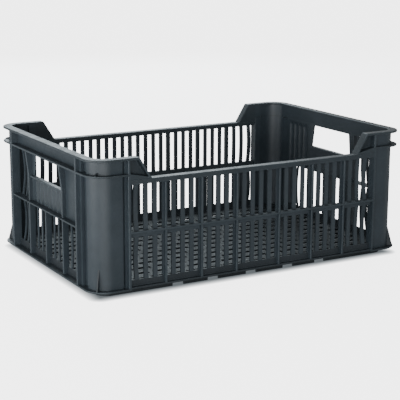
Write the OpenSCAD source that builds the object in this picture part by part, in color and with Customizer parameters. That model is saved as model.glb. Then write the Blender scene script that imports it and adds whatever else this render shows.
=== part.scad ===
// Grape harvest tub: a moulded stacking crate with low long sides and high, gripped ends.
// Each member of the moulding is a piece of its own, and neighbours meet face to face.

/* [Overall] */
// Length over the rim
length = 600; // [560:1:640]
// Width over the rim
width = 400; // [370:1:430]
// Height from the floor to the top of the end rims
height = 222; // [205:1:260]
// Outer radius of the four corners
corner_r = 34; // [28:1:38]

/* [Walls] */
// Thickness of a moulded wall
wall = 3; // [2:0.5:4]
// Distance from the outer envelope to the inner skin
skin_inset = 15.5; // [14:0.5:18]
// Distance from the outer envelope to the corner post panel
post_recess = 8.5; // [7.5:0.5:9]
// Outer radius of a corner post panel
post_r = 30; // [24:1:34]

/* [Base] */
// Height of the stacking plinth under the floor
plinth_h = 10.5; // [8:0.5:14]
// Thickness of the floor and of the base flange
floor_t = 3; // [2.5:0.5:5]
// Gap between the inner skin and the plinth, so that tubs nest when stacked
plinth_gap = 6.5; // [4.5:0.5:9]
// How far the lip along the foot of a long side lies above the stacking seat
sill_lift = 2; // [0.5:0.5:4]
// Width of a gap in the plinth, between two stacking lugs
lug_gap = 20; // [12:1:30]

/* [Floor grid] */
// Spacing of the floor slots along the length
grid_pitch_x = 32.8; // [28:0.2:44]
// Spacing of the floor slots across the width
grid_pitch_y = 26; // [20:0.5:32]
// Length of a floor slot
grid_slot_l = 25; // [16:1:26]
// Width of a floor slot
grid_slot_w = 11; // [6:0.5:14]

/* [Rims and flanges] */
// Thickness of the rim
rim_t = 4; // [3:0.5:6]
// Height from the top of the grip flange to the top of the rim
grip_drop = 25; // [20:1:30]
// Thickness of the grip flange
grip_t = 3; // [2.5:0.5:4]

/* [Long sides] */
// How far the long sides lie below the end rims
side_drop = 34.5; // [28:0.5:44]
// Depth of the rail along the top of a long side
rail_h = 8; // [6:0.5:14]
// Length of the rim along a long side, from the end to the top of the shoulder
rim_return = 82; // [76:1:90]
// How far the slope of a shoulder runs out along the rail
shoulder_reach = 21.4; // [10:0.1:30]
// Thickness of a shoulder's sloping edge, measured level
shoulder_t = 4; // [3:0.5:5]
// Spacing of the slots along a long side
slot_pitch = 16.4; // [14:0.1:20]
// Width of a slot in a long side
slot_w = 9; // [6:0.1:10]
// Distance from the outer envelope to the outer face of the slats of a long side
slat_recess = 6.5; // [5:0.5:7.5]
// Least length kept free of slots at each end of a long side, for the corner
corner_keep = 65; // [60:1:72]
// Thickness of an upright stile on the outside of a long side
stile_w = 3.5; // [2.5:0.5:6]
// Height of the bar half way up a long side
band_h = 10.5; // [7:0.5:16]
// Thickness of the rib that stands out along the top of that bar
band_rib_t = 3.5; // [2.5:0.5:5]
// Slats next to each corner that bow towards the inside
bowed_slats = 3; // [1:1:4]
// Bow of the slat nearest to a corner
corner_bow = 4.5; // [1:0.5:8]
// Share of that bow that is left in each slat farther from the corner
bow_fade = 0.45; // [0.3:0.05:0.7]

/* [Heights shared by all sides] */
// Height of the top of the middle bars, and of the underside of the middle ribs of the ends
mid_z = 105; // [95:1:115]
// Height of the top of the sill
sill_top = 25.5; // [22:0.5:36]

/* [Ends] */
// Thickness of an upright rib
rib_t = 4; // [3:0.5:5]
// Distance from the envelope of a long side to the nearer face of an end's corner rib
end_rib_inset = 61; // [58:1:70]
// Distance from the middle of the tub to the inner face of a handle rib
handle_rib_y = 69; // [64:1:74]
// Half width of the hand hole, at the middle of its height
hand_hole_half = 60; // [50:1:62]
// How much the half width of the hand hole grows from that middle to its lower edge
hand_hole_flare = 2.5; // [0:0.5:4]
// Height of the lower edge of the hand hole
hand_hole_z = 152; // [146:1:158]
// Distance from the outer envelope to a handle rib
handle_rib_recess = 5; // [3:0.5:6]
// Least spacing of the slots and flutes in an end
end_pitch = 14.4; // [12:0.1:19]
// Width of an end slat
end_slat_w = 5.5; // [4:0.5:8]
// Depth of an end slat
end_slat_t = 2; // [1.5:0.5:4]
// Bow that the end slats would have right beside a corner rib
end_bow = 4.8; // [1:0.1:7]
// Distance from a corner rib at which the bow of the end slats has faded out
end_bow_reach = 55; // [20:1:80]
// Height of the middle rib of an end
end_mid_t = 3; // [2.5:0.5:5]
// How far the middle rib of an end stays behind the envelope
end_mid_recess = 1; // [0.5:0.5:4]
// Width of the lip under the hand hole
lip_w = 8.5; // [5:0.5:10]
// Thickness of the lip under the hand hole
lip_t = 3; // [2:0.5:4]
// Thickness of a fluted panel
flute_panel_t = 4; // [3.5:0.5:4.5]
// Flutes in the panel under the hand hole
flutes = 8; // [5:1:12]
// Depth of a flute under the hand hole
flute_d = 1.5; // [0.5:0.1:2]
// Depth of a flute in the closed bay
bay_flute_d = 2.5; // [1:0.1:2.8]
// Plain strip above the flutes of the closed bay
flute_clear = 2; // [1:0.5:6]

/* [Corners] */
// Distance from the outer envelope to the ledges beside a corner post
ledge_recess = 7; // [6:0.5:8]
// Width of the flat ledge beside an end's corner rib
end_ledge_w = 7; // [4:0.5:9]
// Flat part of a post's end face, between the groove beside it and its round corner
post_flat = 0.5; // [0.5:0.5:4]
// Width of the flat ledge beside a long side's corner rib
side_ledge_w = 3; // [2:0.5:4]
// Width of the groove between that ledge and the post
side_groove_w = 3; // [2:0.5:4]
// Height of the gusset at the foot of a corner
gusset_h = 34; // [20:1:50]
// Height of the small gusset under the rim of a corner
top_gusset_h = 4; // [3:1:12]
// Thickness of a gusset
gusset_t = 2; // [1.5:0.5:4]

/* [Hidden] */
$fn = 96;
half_l = length / 2;
half_w = width / 2;
skin_x = half_l - skin_inset;
skin_y = half_w - skin_inset;
skin_r = corner_r - skin_inset;
floor_top = plinth_h + floor_t;
rim_bottom = height - rim_t;
grip_top = height - grip_drop;
grip_bottom = grip_top - grip_t;
rail_top = height - side_drop;
rail_bottom = rail_top - rail_h;
band_bottom = mid_z - band_h;
band_rib_bottom = mid_z - band_rib_t;
sill_lip_bottom = plinth_h + sill_lift;
sill_lip_top = sill_lip_bottom + floor_t;
end_mid_top = mid_z + end_mid_t;
// As many slots as fit beside the middle one, and corner ribs just past the last of them
slots_half = floor((half_l - corner_keep - slot_w / 2) / slot_pitch);
side_rib_x = slots_half * slot_pitch + slot_w / 2;
side_ledge_x = side_rib_x + rib_t;
side_groove_x = side_ledge_x + side_ledge_w;
side_post_x = side_groove_x + side_groove_w;
end_ledge_y = half_w - end_rib_inset;
end_rib_y = end_ledge_y - rib_t;
end_groove_y = end_ledge_y + end_ledge_w;
end_post_y = half_w - post_recess - post_r - post_flat;
// A stile stands on every fourth slat; places are counted from the middle in slot spacings
stile_steps = [2.5 : 4 : slots_half - 3.5];
slat_w = slot_pitch - slot_w;
slat_y = half_w - slat_recess - wall;
shoulder_top = half_l - rim_return;
shoulder_foot = shoulder_top - shoulder_reach;
shoulder_run = shoulder_reach / side_drop;
plinth_x = skin_x - plinth_gap;
plinth_y = skin_y - plinth_gap;
// The gaps in the plinth lie in the middle of the bays between stiles
gap_steps = [for (s = stile_steps) s - 2 > 1 ? s - 2 : 0];
gap_reach = max(gap_steps) * slot_pitch + lug_gap / 2;
// Plain edge between the inner skin and the first floor slot
grid_edge = 8;
// How far a gusset stays behind the flange's edge, and the height of its tip
gusset_edge = 1;
tub_grey = "#474d4f";

// Shapes that repeat

// Puts a piece made for the right end and the rear side at another side or corner
module at_corner(side_x, side_y) {
  mirror([side_x < 0 ? 1 : 0, 0, 0])
    mirror([0, side_y < 0 ? 1 : 0, 0])
      children();
}

// A box between two corners
module block(low, high) {
  translate(low)
    cube(high - low);
}

// An outline drawn in width and height, made solid between two places along the length
module along_x(x_low, x_high) {
  translate([x_low, 0, 0])
    rotate([90, 0, 90])
      linear_extrude(x_high - x_low)
        children();
}

// An outline drawn in length and height, made solid between two places across the width
module along_y(y_low, y_high) {
  translate([0, y_high, 0])
    rotate([90, 0, 0])
      linear_extrude(y_high - y_low)
        children();
}

// The side view of a slat, with its inner face at zero and its bow, if it has one, towards minus
module slat_outline(z_low, z_high, thick, rise) {
  chord = z_high - z_low;
  if (rise > 0) {
    arc_r = chord * chord / (8 * rise) + rise / 2;
    intersection() {
      translate([thick - rise + arc_r, z_low + chord / 2])
        difference() {
          circle(r = arc_r + thick);
          circle(r = arc_r);
        }
      translate([-rise - thick, z_low])
        square([rise + 2 * thick, chord]);
    }
  } else {
    translate([0, z_low])
      square([thick, chord]);
  }
}

// A flat outline with round corners, about the middle
module rounded_outline(half_x, half_y, r) {
  square([2 * half_x, 2 * (half_y - r)], center = true);
  square([2 * (half_x - r), 2 * half_y], center = true);
  for (sx = [-1, 1], sy = [-1, 1])
    translate([sx * (half_x - r), sy * (half_y - r)])
      circle(r = r);
}

// A quarter of a flat ring
module quarter_ring(r_out, r_in) {
  intersection() {
    difference() {
      circle(r = r_out);
      circle(r = r_in);
    }
    square(r_out);
  }
}

// Base

// Slotted floor inside the walls
module floor_grid() {
  rows = floor((skin_y - grid_edge - grid_slot_w / 2) / grid_pitch_y);
  reach = skin_x - grid_edge - grid_slot_l / 2;
  color(tub_grey)
    translate([0, 0, plinth_h])
      linear_extrude(floor_t)
        difference() {
          rounded_outline(skin_x, skin_y, skin_r);
          for (row = [-rows : rows]) {
            shift = row % 2 == 0 ? 0 : grid_pitch_x / 2;
            columns = floor((reach - shift) / grid_pitch_x);
            for (column = [shift == 0 ? -columns : -columns - 1 : columns])
              translate([column * grid_pitch_x + shift, row * grid_pitch_y])
                square([grid_slot_l, grid_slot_w], center = true);
          }
        }
}

// Plan of the skirt under the floor that drops into the rim of the tub below
module skirt_plan() {
  difference() {
    rounded_outline(plinth_x, plinth_y, skin_r);
    rounded_outline(plinth_x - wall, plinth_y - wall, skin_r - wall);
  }
}

// The two ends of the skirt, beyond the last gaps
module base_plinth() {
  color(tub_grey)
    linear_extrude(plinth_h)
      difference() {
        skirt_plan();
        square([2 * gap_reach, width], center = true);
      }
}

// Lugs of the skirt between the gaps, along the two long sides
module stacking_lugs() {
  color(tub_grey)
    linear_extrude(plinth_h)
      difference() {
        intersection() {
          skirt_plan();
          square([2 * gap_reach, width], center = true);
        }
        for (step = gap_steps, sx = [-1, 1])
          translate([sx * step * slot_pitch, 0])
            square([lug_gap, width], center = true);
      }
}

// Corners

// Plan of a post's curved panel
module post_arc_plan() {
  translate([half_l - post_recess - post_r, half_w - post_recess - post_r])
    quarter_ring(post_r, post_r - wall);
}

// Plan of the post's edge, groove and ledge towards the end
module post_end_plan() {
  panel = half_l - post_recess;
  ledge = half_l - ledge_recess;
  arc_y = half_w - post_recess - post_r;
  translate([panel - wall, end_post_y])
    square([wall, arc_y - end_post_y]);
  translate([skin_x, end_post_y])
    square([panel - skin_x, wall]);
  translate([skin_x, end_groove_y - wall])
    square([wall, end_post_y + wall - end_groove_y + wall]);
  translate([skin_x, end_ledge_y])
    square([ledge - skin_x, end_ledge_w]);
}

// Plan of the post's edge, groove and ledge towards the long side
module post_side_plan() {
  panel = half_w - post_recess;
  ledge = half_w - ledge_recess;
  arc_x = half_l - post_recess - post_r;
  translate([side_post_x, panel - wall])
    square([arc_x - side_post_x, wall]);
  translate([side_post_x, skin_y])
    square([wall, panel - skin_y]);
  translate([side_ledge_x, skin_y])
    square([side_post_x + wall - side_ledge_x, wall]);
  translate([side_ledge_x, skin_y])
    square([side_ledge_w, ledge - skin_y]);
}

// Plan of the hollow inside a post
module post_hollow_plan() {
  arc_x = half_l - post_recess - post_r;
  arc_y = half_w - post_recess - post_r;
  translate([arc_x, arc_y])
    circle(r = post_r - wall);
  translate([side_post_x + wall, 0])
    square([arc_x - side_post_x - wall, arc_y + post_r - wall]);
  translate([0, end_post_y + wall])
    square([arc_x + post_r - wall, arc_y - end_post_y - wall]);
}

// Corner post: a curved panel with a grooved edge on each side, below and above the grip flange
module post(side_x, side_y) {
  color(tub_grey)
    at_corner(side_x, side_y)
      for (span = [[floor_top, grip_bottom], [grip_top, rim_bottom]])
        translate([0, 0, span[0]]) {
          linear_extrude(span[1] - span[0])
            post_arc_plan();
          linear_extrude(span[1] - span[0])
            post_end_plan();
          linear_extrude(span[1] - span[0])
            post_side_plan();
        }
}

// One flange where it runs round a corner
module flange_arc(z_low, thick) {
  translate([half_l - corner_r, half_w - corner_r, z_low])
    linear_extrude(thick)
      quarter_ring(corner_r, skin_r);
}

// One flange from a corner to the corner rib of the long side
module flange_arm(z_low, thick) {
  block([side_rib_x, skin_y, z_low], [half_l - corner_r, half_w, z_low + thick]);
}

// A piece cut flush with the inside of the post
module clear_of_post() {
  difference() {
    union()
      children();
    linear_extrude(height)
      post_hollow_plan();
  }
}

// Rim, grip flange and base flange where they run round a corner
module flanges(side_x, side_y) {
  color(tub_grey)
    at_corner(side_x, side_y) {
      flange_arc(rim_bottom, rim_t);
      clear_of_post() {
        flange_arc(grip_bottom, grip_t);
        flange_arm(grip_bottom, grip_t);
      }
      flange_arc(plinth_h, floor_t);
      flange_arm(plinth_h, floor_t);
    }
}

// Upright ribs that frame a corner, on the long side and on the end
module ribs(side_x, side_y) {
  color(tub_grey)
    at_corner(side_x, side_y)
      for (span = [[floor_top, grip_bottom], [grip_top, rim_bottom]]) {
        block([side_rib_x, skin_y, span[0]], [side_ledge_x, half_w, span[1]]);
        block([skin_x, end_rib_y, span[0]], [half_l, end_ledge_y, span[1]]);
      }
}

// Shoulder that drops from a corner's rim to the rail: rim and sloping edge, web and foot
module shoulder(side_x, side_y) {
  edge_top = shoulder_top + shoulder_t;
  edge_foot = shoulder_foot + shoulder_t;
  color(tub_grey)
    at_corner(side_x, side_y) {
      along_y(skin_y, half_w)
        polygon([
          [shoulder_foot, rail_top], [shoulder_top, height],
          [half_l - corner_r, height], [half_l - corner_r, rim_bottom],
          [edge_top - rim_t * shoulder_run, rim_bottom], [edge_foot, rail_top]
        ]);
      along_y(skin_y, skin_y + wall)
        polygon([
          [shoulder_foot, rail_top], [shoulder_top, height],
          [side_rib_x, height], [side_rib_x, rail_top]
        ]);
      along_y(skin_y, half_w)
        polygon([
          [shoulder_foot, rail_top], [edge_foot + grip_t * shoulder_run, rail_top + grip_t],
          [side_rib_x, grip_top], [side_rib_x, rail_top]
        ]);
    }
}

// Fins on the diagonal of each corner, on the base flange and on the grip flange
module corner_gussets() {
  panel_mid = [half_l - post_recess - post_r, half_w - post_recess - post_r];
  rim_mid = [half_l - corner_r, half_w - corner_r];
  reach = norm(rim_mid - panel_mid) + corner_r - gusset_edge;
  color(tub_grey)
    for (sx = [-1, 1], sy = [-1, 1], foot = [[floor_top, gusset_h], [grip_top, top_gusset_h]])
      at_corner(sx, sy)
        translate([panel_mid[0], panel_mid[1], foot[0]])
          difference() {
            rotate([0, 0, 45])
              along_y(-gusset_t / 2, gusset_t / 2)
                polygon([
                  [post_r - wall, 0], [reach, 0], [reach, gusset_edge],
                  [post_r, foot[1]], [post_r - wall, foot[1]]
                ]);
            translate([0, 0, -wall])
              cylinder(r = post_r, h = foot[1] + 2 * wall);
          }
}

// Long sides

// Rail along the top of a long side, open underneath
module rail(side_y) {
  color(tub_grey)
    at_corner(1, side_y)
      along_x(-side_rib_x, side_rib_x)
        difference() {
          translate([skin_y, rail_bottom])
            square([skin_inset, rail_h]);
          translate([skin_y + wall, rail_bottom - wall])
            square([skin_inset - 2 * wall, rail_h]);
        }
}

// Slats of a long side between two heights, the last of them bowed
module side_slats(side_y, z_low, z_high) {
  color(tub_grey)
    at_corner(1, side_y)
      for (step = [0.5 : slots_half - 0.5], sx = [-1, 1]) {
        middle = sx * step * slot_pitch;
        from_corner = slots_half - 0.5 - step;
        rise = from_corner < bowed_slats ? corner_bow * pow(bow_fade, from_corner) : 0;
        along_x(middle - slat_w / 2, middle + slat_w / 2)
          translate([slat_y, 0])
            slat_outline(z_low, z_high, wall, rise);
      }
}

// Thin stiles that stand out from the slats, below and above the band's rib
module stiles(side_y) {
  spans = [[sill_lip_top, band_rib_bottom], [mid_z, rail_bottom]];
  color(tub_grey)
    at_corner(1, side_y)
      for (step = stile_steps, sx = [-1, 1], span = spans) {
        middle = sx * step * slot_pitch;
        block(
          [middle - stile_w / 2, slat_y + wall, span[0]],
          [middle + stile_w / 2, half_w, span[1]]
        );
      }
}

// Bar half way up a long side, with a rib that stands out from it
module middle_band(side_y) {
  color(tub_grey)
    at_corner(1, side_y)
      along_x(-side_rib_x, side_rib_x) {
        translate([slat_y, band_bottom])
          square([wall, band_h]);
        translate([slat_y, band_rib_bottom])
          square([wall + slat_recess, band_rib_t]);
      }
}

// Closed strip along the foot of a long side, with a lip outside and a foot that meets the floor
module sill(side_y) {
  color(tub_grey)
    at_corner(1, side_y)
      along_x(-side_rib_x, side_rib_x) {
        translate([slat_y, plinth_h])
          square([wall, sill_top - plinth_h]);
        translate([slat_y, sill_lip_bottom])
          square([wall + slat_recess, floor_t]);
        translate([skin_y, plinth_h])
          square([slat_y + wall - skin_y, floor_t]);
      }
}

// Ends

// A straight flange across an end, between its two corner arcs
module end_flange(side_x, z_low, thick) {
  at_corner(side_x, 1)
    block(
      [skin_x, corner_r - half_w, z_low],
      [half_l, half_w - corner_r, z_low + thick]
    );
}

// Top rim of an end
module rim(side_x) {
  color(tub_grey)
    end_flange(side_x, rim_bottom, rim_t);
}

// Flange under the fingers, which is the grip of the hand hole
module grip_flange(side_x) {
  color(tub_grey)
    at_corner(side_x, 1)
      clear_of_post()
        at_corner(1, -1)
          clear_of_post()
            end_flange(1, grip_bottom, grip_t);
}

// Flange along the foot of an end
module base_flange(side_x) {
  color(tub_grey)
    end_flange(side_x, plinth_h, floor_t);
}

// Plain band between the rim and the grip flange
module band(side_x) {
  color(tub_grey)
    at_corner(side_x, 1)
      block([skin_x, -end_rib_y, grip_top], [skin_x + wall, end_rib_y, rim_bottom]);
}

// Lip, fluted panel and cheeks round the hand hole
module handle_panel(side_x) {
  flute_w = 2 * handle_rib_y / flutes;
  flute_r = flute_w * flute_w / (8 * flute_d) + flute_d / 2;
  hole_mid = (hand_hole_z + grip_bottom) / 2;
  color(tub_grey)
    at_corner(side_x, 1) {
      block(
        [skin_x, -handle_rib_y, hand_hole_z - lip_t],
        [skin_x + lip_w, handle_rib_y, hand_hole_z]
      );
      translate([skin_x, 0, end_mid_top])
        linear_extrude(hand_hole_z - lip_t - end_mid_top)
          difference() {
            translate([0, -handle_rib_y])
              square([flute_panel_t, 2 * handle_rib_y]);
            for (i = [0 : flutes - 1])
              translate([flute_panel_t - flute_d + flute_r, (i + 0.5) * flute_w - handle_rib_y])
                circle(r = flute_r);
          }
      for (sy = [-1, 1])
        at_corner(1, sy)
          along_x(skin_x, skin_x + wall)
            polygon([
              [handle_rib_y, hand_hole_z], [handle_rib_y, grip_bottom],
              [hand_hole_half - hand_hole_flare, grip_bottom],
              [hand_hole_half + hand_hole_flare, hand_hole_z]
            ]);
    }
}

// Two handle ribs that flare out to the grip flange, and the short rib between the lower bays
module end_ribs(side_x) {
  rib_face = half_l - handle_rib_recess;
  color(tub_grey)
    at_corner(side_x, 1) {
      for (y_low = [-handle_rib_y - rib_t, handle_rib_y])
        along_y(y_low, y_low + rib_t)
          polygon([
            [skin_x, floor_top], [rib_face, floor_top], [rib_face, hand_hole_z],
            [half_l, grip_bottom], [skin_x, grip_bottom]
          ]);
      block([skin_x, -rib_t / 2, floor_top], [rib_face, rib_t / 2, mid_z]);
    }
}

// Slats that share a bay evenly with its slots, bowed the more the nearer they are to the corner
module bay_of_slats(y_low, y_high, z_low, z_high) {
  slots = max(1, floor((y_high - y_low) / end_pitch));
  end_slot_w = (y_high - y_low - (slots - 1) * end_slat_w) / slots;
  for (i = [1 : 1 : slots - 1]) {
    start = y_low + i * end_slot_w + (i - 1) * end_slat_w;
    fade = (end_rib_y - start - end_slat_w / 2) / end_bow_reach;
    along_y(start, start + end_slat_w)
      translate([skin_x, 0])
        slat_outline(z_low, z_high, end_slat_t, end_bow * (1 - fade * fade));
  }
}

// Slats of an end: in one bay beside the handle above the middle rib, and in all four bays below it
module end_slats(side_x) {
  color(tub_grey)
    at_corner(side_x, 1) {
      at_corner(1, -side_x)
        bay_of_slats(handle_rib_y + rib_t, end_rib_y, end_mid_top, grip_bottom);
      for (sy = [-1, 1])
        at_corner(1, sy) {
          bay_of_slats(handle_rib_y + rib_t, end_rib_y, sill_top, mid_z);
          bay_of_slats(rib_t / 2, handle_rib_y, sill_top, mid_z);
        }
    }
}

// Closed bay on the other side of the handle: a panel with round-topped flutes towards the inside
module bay_panel(side_x) {
  y_low = handle_rib_y + rib_t;
  bay_flutes = max(1, floor((end_rib_y - y_low) / end_pitch));
  flute_w = (end_rib_y - y_low) / bay_flutes;
  flute_r = flute_w * flute_w / (8 * bay_flute_d) + bay_flute_d / 2;
  color(tub_grey)
    at_corner(side_x, side_x)
      difference() {
        block([skin_x, y_low, end_mid_top], [skin_x + flute_panel_t, end_rib_y, grip_bottom]);
        for (i = [0 : bay_flutes - 1])
          translate([skin_x + bay_flute_d - flute_r, y_low + (i + 0.5) * flute_w, 0]) {
            cylinder(r = flute_r, h = grip_bottom - flute_clear - flute_w / 2);
            translate([0, 0, grip_bottom - flute_clear - flute_w / 2])
              sphere(r = flute_r);
          }
      }
}

// Level rib half way up an end, between its upright ribs
module middle_rib(side_x) {
  face = half_l - end_mid_recess;
  color(tub_grey)
    at_corner(side_x, 1) {
      block([skin_x, -handle_rib_y, mid_z], [face, handle_rib_y, end_mid_top]);
      for (y_low = [-end_rib_y, handle_rib_y + rib_t])
        block(
          [skin_x, y_low, mid_z],
          [face, y_low + end_rib_y - handle_rib_y - rib_t, end_mid_top]
        );
    }
}

// Closed strip along the foot of an end, between its upright ribs
module end_sill(side_x) {
  color(tub_grey)
    at_corner(side_x, 1)
      for (sy = [-1, 1], bay = [[rib_t / 2, handle_rib_y], [handle_rib_y + rib_t, end_rib_y]])
        at_corner(1, sy)
          block([skin_x, bay[0], floor_top], [skin_x + wall, bay[1], sill_top]);
}

// What is drawn
floor_grid();
base_plinth();
stacking_lugs();
post(-1, -1);  // post_front_left
post(1, -1);  // post_front_right
post(-1, 1);  // post_rear_left
post(1, 1);  // post_rear_right
flanges(-1, -1);  // flanges_front_left
flanges(1, -1);  // flanges_front_right
flanges(-1, 1);  // flanges_rear_left
flanges(1, 1);  // flanges_rear_right
ribs(-1, -1);  // ribs_front_left
ribs(1, -1);  // ribs_front_right
ribs(-1, 1);  // ribs_rear_left
ribs(1, 1);  // ribs_rear_right
shoulder(-1, -1);  // shoulder_front_left
shoulder(1, -1);  // shoulder_front_right
shoulder(-1, 1);  // shoulder_rear_left
shoulder(1, 1);  // shoulder_rear_right
corner_gussets();
rail(-1);  // front_rail
side_slats(-1, mid_z, rail_top - wall);  // front_upper_slats
middle_band(-1);  // front_middle_band
side_slats(-1, sill_top, band_bottom);  // front_lower_slats
stiles(-1);  // front_stiles
sill(-1);  // front_sill
rail(1);  // rear_rail
side_slats(1, mid_z, rail_top - wall);  // rear_upper_slats
middle_band(1);  // rear_middle_band
side_slats(1, sill_top, band_bottom);  // rear_lower_slats
stiles(1);  // rear_stiles
sill(1);  // rear_sill
rim(-1);  // left_rim
band(-1);  // left_band
grip_flange(-1);  // left_grip_flange
handle_panel(-1);  // left_handle_panel
end_ribs(-1);  // left_end_ribs
end_slats(-1);  // left_end_slats
bay_panel(-1);  // left_bay_panel
middle_rib(-1);  // left_middle_rib
end_sill(-1);  // left_end_sill
base_flange(-1);  // left_base_flange
rim(1);  // right_rim
band(1);  // right_band
grip_flange(1);  // right_grip_flange
handle_panel(1);  // right_handle_panel
end_ribs(1);  // right_end_ribs
end_slats(1);  // right_end_slats
bay_panel(1);  // right_bay_panel
middle_rib(1);  // right_middle_rib
end_sill(1);  // right_end_sill
base_flange(1);  // right_base_flange
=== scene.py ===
import math

import bmesh
import bpy
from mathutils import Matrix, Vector
from mathutils.bvhtree import BVHTree


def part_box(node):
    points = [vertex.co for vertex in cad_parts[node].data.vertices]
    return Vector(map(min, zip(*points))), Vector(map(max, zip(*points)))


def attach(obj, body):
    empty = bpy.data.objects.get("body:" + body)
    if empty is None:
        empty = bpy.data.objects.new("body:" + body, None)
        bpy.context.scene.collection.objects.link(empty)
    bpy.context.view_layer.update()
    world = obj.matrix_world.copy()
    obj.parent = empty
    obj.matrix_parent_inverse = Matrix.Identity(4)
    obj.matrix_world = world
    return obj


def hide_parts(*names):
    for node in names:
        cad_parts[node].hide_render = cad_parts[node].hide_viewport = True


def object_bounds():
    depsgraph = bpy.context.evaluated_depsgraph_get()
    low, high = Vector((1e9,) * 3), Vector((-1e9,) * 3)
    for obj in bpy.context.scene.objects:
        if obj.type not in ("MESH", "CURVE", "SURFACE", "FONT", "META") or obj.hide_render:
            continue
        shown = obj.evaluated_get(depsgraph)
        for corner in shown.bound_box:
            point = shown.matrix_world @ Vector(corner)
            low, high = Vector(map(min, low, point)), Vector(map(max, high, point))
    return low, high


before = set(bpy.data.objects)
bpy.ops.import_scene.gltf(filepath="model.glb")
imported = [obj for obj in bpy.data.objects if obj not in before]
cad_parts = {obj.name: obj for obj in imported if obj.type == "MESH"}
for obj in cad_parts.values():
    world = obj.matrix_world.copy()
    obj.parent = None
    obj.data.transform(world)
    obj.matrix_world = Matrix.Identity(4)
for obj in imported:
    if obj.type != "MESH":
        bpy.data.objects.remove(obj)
cad_low, cad_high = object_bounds()


# Floor: the slotted tray that the fruit lies on, moulded with the walls in dark grey polyethylene.
# Its top is rubbed dull and flecked with pale dust, and its colour shifts a little from place to place.
# Every finish of the tub is this one plastic, more or less rubbed, and a few darkened as painted shade, so
# they are all mixed by one function.

def tub_plastic(name, dark, pale, dullness, scuff, grain, ripple):
    """The grey plastic: cloudy colour between two greys, a fine moulded grain, and edges rubbed pale."""
    finish = bpy.data.materials.new(name)
    finish.use_nodes = True
    nodes = finish.node_tree.nodes
    link = finish.node_tree.links.new
    shader = nodes["Principled BSDF"]
    shader.inputs["IOR"].default_value = 1.5
    shader.inputs["Specular IOR Level"].default_value = 0.45
    place = nodes.new("ShaderNodeTexCoord")

    def speckle(per_metre, detail, roughness):
        noise = nodes.new("ShaderNodeTexNoise")
        noise.inputs["Scale"].default_value = per_metre
        noise.inputs["Detail"].default_value = detail
        noise.inputs["Roughness"].default_value = roughness
        link(place.outputs["Object"], noise.inputs["Vector"])
        return noise.outputs["Fac"]

    def spread(value, low, high, to_low=0.0, to_high=1.0):
        part = nodes.new("ShaderNodeMapRange")
        part.inputs["From Min"].default_value = low
        part.inputs["From Max"].default_value = high
        part.inputs["To Min"].default_value = to_low
        part.inputs["To Max"].default_value = to_high
        link(value, part.inputs["Value"])
        return part.outputs["Result"]

    def blend(amount, under, over):
        mix = nodes.new("ShaderNodeMix")
        mix.data_type = "RGBA"
        link(amount, mix.inputs["Factor"])
        for socket, colour in ((mix.inputs["A"], under), (mix.inputs["B"], over)):
            if isinstance(colour, tuple):
                socket.default_value = (*colour, 1.0)
            else:
                link(colour, socket)
        return mix.outputs["Result"]

    def times(first, second):
        product = nodes.new("ShaderNodeMath")
        product.operation = "MULTIPLY"
        link(first, product.inputs[0])
        link(second, product.inputs[1])
        return product.outputs["Value"]

    def bump(height, strength, depth):
        relief = nodes.new("ShaderNodeBump")
        relief.inputs["Strength"].default_value = strength
        relief.inputs["Distance"].default_value = depth
        link(height, relief.inputs["Height"])
        return relief

    clouds = spread(speckle(per_metre=14, detail=4, roughness=0.6), low=0.35, high=0.65)
    cloudy = blend(clouds, dark, pale)

    # Rubbed places: along the rounded edges, broken up by a blotchy pattern, and faint flecks on the flats
    rubbed_grey = (0.074, 0.100, 0.116)
    fleck_grey = (0.090, 0.110, 0.122)
    most_fleck = 0.35 * scuff
    rounded = nodes.new("ShaderNodeAttribute")
    rounded.attribute_name = "rounded_edge"
    blotches = spread(speckle(per_metre=160, detail=5, roughness=0.7), low=0.42, high=0.62, to_low=0.15)
    rubbed = spread(times(rounded.outputs["Fac"], blotches), low=0.0, high=1.0, to_high=scuff)
    scuffed = blend(rubbed, cloudy, rubbed_grey)
    flecks = spread(speckle(per_metre=420, detail=3, roughness=0.55), low=0.66, high=0.8, to_high=most_fleck)
    link(blend(flecks, scuffed, fleck_grey), shader.inputs["Base Color"])

    # Glossier and duller patches
    glossiest = dullness - 0.07
    dullest = dullness + 0.09
    patchy = speckle(per_metre=55, detail=4, roughness=0.6)
    link(spread(patchy, low=0.3, high=0.7, to_low=glossiest, to_high=dullest), shader.inputs["Roughness"])

    # Spark-eroded mould grain under a slower ripple where the plastic shrank
    fine = bump(speckle(per_metre=1500, detail=2, roughness=0.5), grain, depth=0.0004)
    slow = bump(speckle(per_metre=28, detail=2, roughness=0.4), ripple, depth=0.0012)
    link(fine.outputs["Normal"], slow.inputs["Normal"])
    link(slow.outputs["Normal"], shader.inputs["Normal"])
    return finish


floor_plastic = tub_plastic(
    "floor_plastic", dark=(0.019, 0.026, 0.031), pale=(0.030, 0.039, 0.046),
    dullness=0.55, scuff=0.5, grain=0.35, ripple=0.25,
)
floor_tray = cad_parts["floor_grid"]
floor_tray.data.materials.clear()
floor_tray.data.materials.append(floor_plastic)


# Plinth and lugs: the skirt under the floor that drops into the tub below, and lugs between its gaps.
# They are moulded with the floor, and their edges are rubbed by the ground and by other tubs.
# Every member is rounded by one function: the mould leaves each free edge round, and none where members join.

corners, triangles, owners = [], [], []
for member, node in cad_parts.items():
    node.data.calc_loop_triangles()
    first = len(corners)
    corners.extend(vertex.co.copy() for vertex in node.data.vertices)
    triangles.extend([first + corner for corner in tri.vertices] for tri in node.data.loop_triangles)
    owners.extend([member] * len(node.data.loop_triangles))
all_members = BVHTree.FromPolygons(corners, triangles)
touch = 0.00005
weld = 0.000001
along_edge = (0.1, 0.3, 0.5, 0.7, 0.9)
flat_angle = math.radians(0.5)
sharp_angle = math.radians(30)
crease_angle = math.radians(50)


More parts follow.
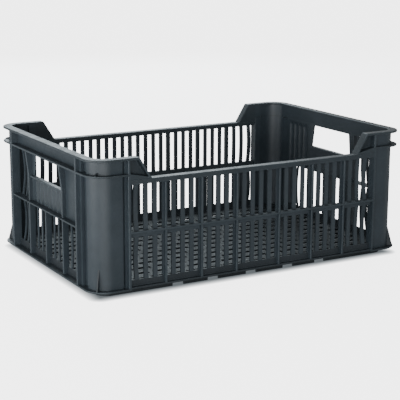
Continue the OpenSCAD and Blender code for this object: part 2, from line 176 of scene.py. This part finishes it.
def is_free(edge, member):
    """True if no other member touches this edge along its length."""
    start, end = (vertex.co for vertex in edge.verts)
    for share in along_edge:
        for _, _, triangle, _ in all_members.find_nearest_range(start.lerp(end, share), touch):
            if owners[triangle] != member:
                return False
    return True


def mould(member, edge_radius, finish):
    """Replaces a member by the same shape with its free edges rounded."""
    shape = bmesh.new()
    shape.from_mesh(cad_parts[member].data)
    bmesh.ops.remove_doubles(shape, verts=shape.verts, dist=weld)
    bmesh.ops.dissolve_limit(shape, angle_limit=flat_angle, verts=shape.verts, edges=shape.edges)
    free_edges = [
        edge for edge in shape.edges
        if edge.is_manifold and edge.calc_face_angle() > sharp_angle and is_free(edge, member)
    ]
    rounding = shape.faces.layers.float.new("rounded_edge")
    rounded = bmesh.ops.bevel(
        shape, geom=free_edges, offset=edge_radius, offset_type="OFFSET", segments=3,
        profile=0.5, affect="EDGES", clamp_overlap=True, material=-1,
    )
    for face in rounded["faces"]:
        face[rounding] = 1.0
    for face in shape.faces:
        face.smooth = True
    for edge in shape.edges:
        edge.smooth = edge.is_manifold and edge.calc_face_angle() < crease_angle
    mesh = bpy.data.meshes.new(member + "_moulded")
    shape.to_mesh(mesh)
    shape.free()
    # The CAD mesh's own normals come along with it, and would shade the new edges wrongly
    if "custom_normal" in mesh.attributes:
        mesh.attributes.remove(mesh.attributes["custom_normal"])
    mesh.materials.append(finish)
    piece = bpy.data.objects.new(member + "_moulded", mesh)
    bpy.context.scene.collection.objects.link(piece)
    weighted = piece.modifiers.new("flat_faces", "WEIGHTED_NORMAL")
    weighted.keep_sharp = True
    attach(piece, "root")
    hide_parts(member)


# The plinth's grey is darkened as painted shade, for the shadow under the base flange.
foot_painted_shade_plastic = tub_plastic(
    "foot_painted_shade_plastic", dark=(0.011, 0.015, 0.018), pale=(0.017, 0.023, 0.027),
    dullness=0.5, scuff=0.3, grain=0.4, ripple=0.25,
)
panel_edge = 0.0008
mould("base_plinth", panel_edge, foot_painted_shade_plastic)
mould("stacking_lugs", panel_edge, foot_painted_shade_plastic)


# Corners: a curved post between two upright ribs, with the rim, grip flange and base flange running round it,
# a sloping shoulder down to the long side, and thin fins on the diagonal. All are moulded with the walls.
# The broad posts are the smoothest faces of the mould, and stacking rubs the flanges above and below them.

wall_plastic = tub_plastic(
    "wall_plastic", dark=(0.023, 0.033, 0.041), pale=(0.031, 0.043, 0.053),
    dullness=0.40, scuff=0.3, grain=0.25, ripple=0.2,
)
rim_plastic = tub_plastic(
    "rim_plastic", dark=(0.020, 0.028, 0.034), pale=(0.027, 0.037, 0.045),
    dullness=0.42, scuff=0.4, grain=0.3, ripple=0.25,
)
# The fins' grey is darkened and their edges left unrubbed, as painted shade on the thin fins.
fin_painted_shade_plastic = tub_plastic(
    "fin_painted_shade_plastic", dark=(0.016, 0.022, 0.027), pale=(0.021, 0.029, 0.035),
    dullness=0.55, scuff=0.0, grain=0.3, ripple=0.1,
)
rim_edge = 0.0012
rib_edge = 0.0010
fin_edge = 0.0004
for corner in ("front_left", "front_right", "rear_left", "rear_right"):
    mould("post_" + corner, panel_edge, wall_plastic)
    mould("flanges_" + corner, rim_edge, rim_plastic)
    mould("ribs_" + corner, rib_edge, wall_plastic)
    mould("shoulder_" + corner, rim_edge, rim_plastic)
mould("corner_gussets", fin_edge, fin_painted_shade_plastic)


# Long sides: a rail, a middle band and a sill, with slats between them that bow only beside the corners, and
# thin stiles that stand out from the slats. They are moulded in one with the corners.
# The sills are the darkest, their grey darkened as painted shade low on the wall, and the middle bands the
# dullest.

sill_painted_shade_plastic = tub_plastic(
    "sill_painted_shade_plastic", dark=(0.014, 0.020, 0.025), pale=(0.021, 0.028, 0.034),
    dullness=0.48, scuff=0.3, grain=0.35, ripple=0.25,
)
band_plastic = tub_plastic(
    "band_plastic", dark=(0.027, 0.037, 0.045), pale=(0.035, 0.047, 0.057),
    dullness=0.8, scuff=0.2, grain=0.3, ripple=0.25,
)
slat_plastic = tub_plastic(
    "slat_plastic", dark=(0.027, 0.037, 0.045), pale=(0.035, 0.047, 0.057),
    dullness=0.42, scuff=0.5, grain=0.3, ripple=0.25,
)
slat_edge = 0.0005
stile_edge = 0.0009
for side in ("front", "rear"):
    mould(side + "_rail", rim_edge, rim_plastic)
    mould(side + "_upper_slats", slat_edge, slat_plastic)
    mould(side + "_middle_band", rib_edge, band_plastic)
    mould(side + "_lower_slats", slat_edge, slat_plastic)
    mould(side + "_stiles", stile_edge, wall_plastic)
    mould(side + "_sill", panel_edge, sill_painted_shade_plastic)


# Ends: rim, band and grip flange over a hand hole, a fluted panel under it, a closed bay on one side of it,
# and ribs, slats and a sill. They are moulded in one with the corners.
# Hands polish the grip flange and the panel round the hole.

grip_plastic = tub_plastic(
    "grip_plastic", dark=(0.028, 0.038, 0.046), pale=(0.037, 0.049, 0.059),
    dullness=0.38, scuff=0.6, grain=0.2, ripple=0.04,
)
flute_edge = 0.0006
for end in ("left", "right"):
    mould(end + "_rim", rim_edge, rim_plastic)
    mould(end + "_band", panel_edge, wall_plastic)
    mould(end + "_grip_flange", rib_edge, grip_plastic)
    mould(end + "_handle_panel", panel_edge, grip_plastic)
    mould(end + "_end_ribs", rib_edge, wall_plastic)
    mould(end + "_end_slats", flute_edge, slat_plastic)
    mould(end + "_bay_panel", flute_edge, wall_plastic)
    mould(end + "_middle_rib", panel_edge, wall_plastic)
    mould(end + "_end_sill", panel_edge, sill_painted_shade_plastic)
    mould(end + "_base_flange", rib_edge, rim_plastic)


# Studio: a wide sheet of paper, lit from below until it looks white to the camera, as on a light table.
# The tub stands on it, and round its foot a soft shadow is painted into the paper: the glow fades out and the
# grey darkens.
# Soft lights stand in a dim room: a low one on the left, a high one behind the tub, and a low one in front.

paper_half = 40.0
paper = bmesh.new()
bmesh.ops.create_grid(paper, x_segments=1, y_segments=1, size=paper_half)
paper_mesh = bpy.data.meshes.new("studio_floor")
paper.to_mesh(paper_mesh)
paper.free()
studio_floor = bpy.data.objects.new("studio_floor", paper_mesh)
bpy.context.scene.collection.objects.link(studio_floor)
white_paper = bpy.data.materials.new("white_paper")
white_paper.use_nodes = True
paper_nodes = white_paper.node_tree.nodes
paper_link = white_paper.node_tree.links.new
paper_shader = paper_nodes["Principled BSDF"]
paper_shader.inputs["Roughness"].default_value = 0.9


def paper_maths(operation, first, second=0.0):
    step = paper_nodes.new("ShaderNodeMath")
    step.operation = operation
    for socket, value in zip(step.inputs, (first, second)):
        if isinstance(value, float):
            socket.default_value = value
        else:
            paper_link(value, socket)
    return step.outputs["Value"]


# How far each spot of the paper is from the foot of the tub
foot_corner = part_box("base_plinth")[1]
spot = paper_nodes.new("ShaderNodeSeparateXYZ")
paper_link(paper_nodes.new("ShaderNodeTexCoord").outputs["Object"], spot.inputs["Vector"])
squares = []
for axis, half_foot in (("X", foot_corner.x), ("Y", foot_corner.y)):
    outside = paper_maths("SUBTRACT", paper_maths("ABSOLUTE", spot.outputs[axis]), half_foot)
    squares.append(paper_maths("POWER", paper_maths("MAXIMUM", outside, 0.0), 2.0))
from_foot = paper_maths("SQRT", paper_maths("ADD", *squares))

# Painted shadow: the glow grows tenfold over each 17 mm from the foot of the tub, and is full 24 mm away from
# it
full_at = 0.024
tenfold = 10.0
tenfold_over = 0.017
paper_glow = 4.0
short_of_full = paper_maths("MINIMUM", paper_maths("SUBTRACT", from_foot, full_at), 0.0)
steps_short = paper_maths("DIVIDE", short_of_full, tenfold_over)
sight = paper_nodes.new("ShaderNodeLightPath")
seen = paper_maths("MULTIPLY", paper_maths("POWER", tenfold, steps_short), sight.outputs["Is Camera Ray"])
paper_link(paper_maths("MULTIPLY", seen, paper_glow), paper_shader.inputs["Emission Strength"])

# Painted shadow: near the foot the paper's grey is also darker, and its glow is cooler
painted_shadow_grey = 0.12
open_grey = 0.72
painted_shadow_tint = (0.82, 0.93, 1.0, 1.0)
white = (1.0, 1.0, 1.0, 1.0)
out_of_painted_shadow = paper_maths("DIVIDE", paper_maths("MINIMUM", from_foot, full_at), full_at)
lighter = paper_maths("MULTIPLY", out_of_painted_shadow, open_grey - painted_shadow_grey)
paper_link(paper_maths("ADD", lighter, painted_shadow_grey), paper_shader.inputs["Base Color"])
tint = paper_nodes.new("ShaderNodeMix")
tint.data_type = "RGBA"
tint.inputs["A"].default_value = painted_shadow_tint
tint.inputs["B"].default_value = white
paper_link(out_of_painted_shadow, tint.inputs["Factor"])
paper_link(tint.outputs["Result"], paper_shader.inputs["Emission Color"])
paper_mesh.materials.append(white_paper)

# The room gives a dim light, but beyond the edge of the paper the camera sees it as white as the paper
room_light = 0.39
room = bpy.data.worlds.new("dim_room")
room.use_nodes = True
room_nodes = room.node_tree.nodes
room_link = room.node_tree.links.new
backdrop = room_nodes["Background"]
backdrop.inputs["Color"].default_value = white
room_sight = room_nodes.new("ShaderNodeLightPath")
room_glow = room_nodes.new("ShaderNodeMath")
room_glow.operation = "MULTIPLY_ADD"
room_link(room_sight.outputs["Is Camera Ray"], room_glow.inputs[0])
room_glow.inputs[1].default_value = paper_glow - room_light
room_glow.inputs[2].default_value = room_light
room_link(room_glow.outputs["Value"], backdrop.inputs["Strength"])
bpy.context.scene.world = room

tub_middle = (cad_low + cad_high) / 2


def set_up(name, thing, place, aim):
    """Stands a light or a camera at a place, turned to look at another."""
    holder = bpy.data.objects.new(name, thing)
    holder.location = place
    holder.rotation_euler = (aim - place).to_track_quat("-Z", "Y").to_euler()
    bpy.context.scene.collection.objects.link(holder)
    return holder


def soft_light(name, place, width, height, power, colour=(1.0, 1.0, 1.0)):
    """A soft box that faces the middle of the tub."""
    lamp = bpy.data.lights.new(name, "AREA")
    lamp.shape = "RECTANGLE"
    lamp.size = width
    lamp.size_y = height
    lamp.energy = power
    lamp.color = colour
    set_up(name, lamp, Vector(place), tub_middle)


sky_white = (0.82, 0.94, 1.0)
soft_light("left_softbox", place=(-1.5, -0.15, 0.28), width=1.2, height=0.5, power=12.5)
soft_light("back_softbox", place=(0.7, 2.4, 1.5), width=2.0, height=2.0, power=45.0, colour=sky_white)
soft_light("front_softbox", place=(-1.6, -2.7, 0.32), width=2.6, height=0.6, power=56.0)


# Camera: low in front of the left corner, where the photo was taken from.
# Its place, long lens and slight roll were fitted to the tub's edges in the photo.

camera_place = Vector((-1.0224, -1.7936, 0.5708))
camera_aim = Vector((0.0024, 0.0, 0.0893))
camera_roll = math.radians(0.2)
camera_data = bpy.data.cameras.new("camera")
camera_data.lens = 106.62
camera_data.sensor_width = 36.0
camera = set_up("camera", camera_data, camera_place, camera_aim)
camera.rotation_euler.rotate_axis("Z", camera_roll)
bpy.context.scene.camera = camera
